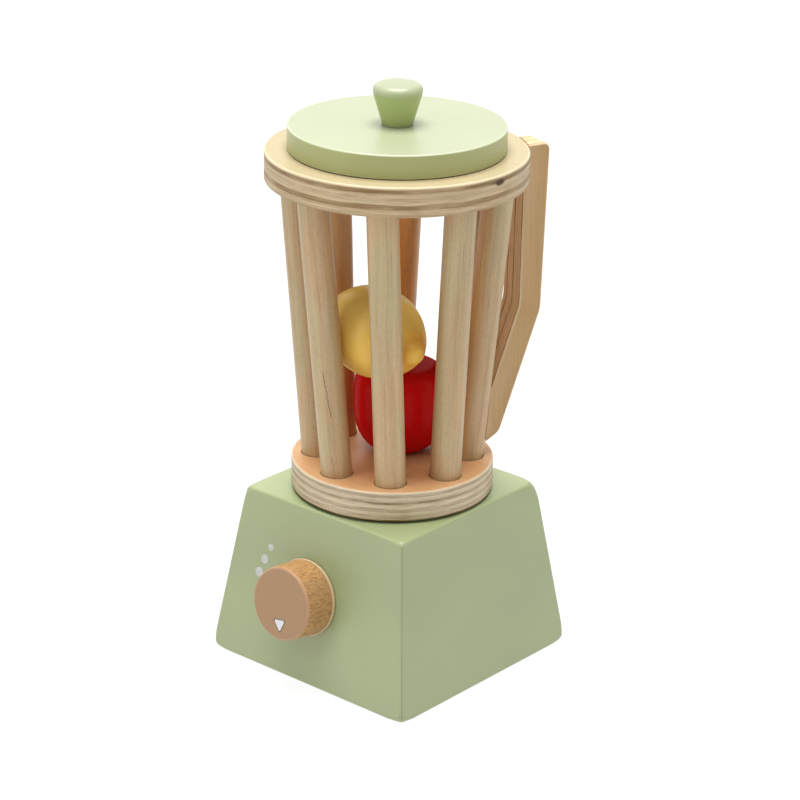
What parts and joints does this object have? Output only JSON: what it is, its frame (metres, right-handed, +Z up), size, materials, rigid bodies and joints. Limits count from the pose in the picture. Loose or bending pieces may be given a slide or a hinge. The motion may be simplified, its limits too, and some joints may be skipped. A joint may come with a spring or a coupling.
{
  "type": "toy blender",
  "caption": "Wooden play blender with a tapered green housing, turning control knob, lift-off slatted jug with side handle, knobbed lid, and a loose lemon and apple inside",
  "frame": {"origin": "centre of the housing's underside, on the surface the toy stands on", "axes": "+Z up along the jug's axis, the panel with the control knob faces -Y, +X to the right of that panel"},
  "size_m": [0.1006, 0.1127, 0.2315],
  "materials": {
    "green_paint": "satin pistachio-green paint over wood, softly worn at the edges",
    "poplar_plywood": "clear-sealed poplar plywood with its ply layers showing on the rims",
    "bare_plywood": "sanded unsealed plywood",
    "bare_softwood": "sawn unsealed softwood",
    "pale_hardwood": "clear-sealed straight-grained turned hardwood rod",
    "beech": "clear-oiled beech with short brown flecks",
    "cream_paint": "satin cream paint over wood",
    "red_lacquer": "high-gloss crimson lacquer over wood",
    "yellow_lacquer": "gloss lemon-yellow lacquer with an orange-shaded nub",
    "zinc_screw": "bright zinc plate"
  },
  "bodies": {
    "base": {"base_front_panel": "green_paint", "base_right_panel": "green_paint", "base_back_panel": "green_paint", "base_left_panel": "green_paint", "base_top_panel": "green_paint", "base_floor_panel": "bare_plywood", "base_corner_blocks": "bare_softwood", "base_floor_screws": "zinc_screw", "jug_locating_boss": "beech"},
    "knob": {"control_knob": "beech", "knob_washer": "cream_paint", "knob_shaft": "beech", "knob_retaining_collar": "bare_plywood", "knob_screw": "zinc_screw"},
    "jug": {"jug_base_disc": "poplar_plywood", "stave_1": "pale_hardwood", "stave_2": "pale_hardwood", "stave_3": "pale_hardwood", "stave_4": "pale_hardwood", "stave_5": "pale_hardwood", "stave_6": "pale_hardwood", "stave_7": "pale_hardwood", "stave_8": "pale_hardwood", "jug_top_ring": "poplar_plywood", "handle": "poplar_plywood", "handle_ring_dowel": "beech", "handle_stave_pin": "beech"},
    "lid": {"lid_disc": "green_paint", "lid_plug": "poplar_plywood", "lid_knob": "green_paint", "lid_knob_pin": "beech"},
    "apple": {"apple": "red_lacquer"},
    "lemon": {"lemon": "yellow_lacquer"}
  },
  "joints": [
    {"name": "knob_turn", "type": "hinge", "parent": "base", "child": "knob", "pos_m": [-0.0034, -0.04547, 0.0349], "axis": [0, -0.9898, 0.1426], "continuous": true},
    {"name": "jug_lift", "type": "slide", "parent": "base", "child": "jug", "axis": [0, 0, 1], "range_m": [0, 0.06]},
    {"name": "lid_lift", "type": "slide", "parent": "jug", "child": "lid", "axis": [0, 0, 1], "range_m": [0, 0.05]},
    {"name": "apple_lift", "type": "slide", "parent": "jug", "child": "apple", "axis": [0, 0, 1], "range_m": [0, 0.012]},
    {"name": "lemon_lift", "type": "slide", "parent": "apple", "child": "lemon", "axis": [0, 0, 1], "range_m": [0, 0.02]}
  ]
}
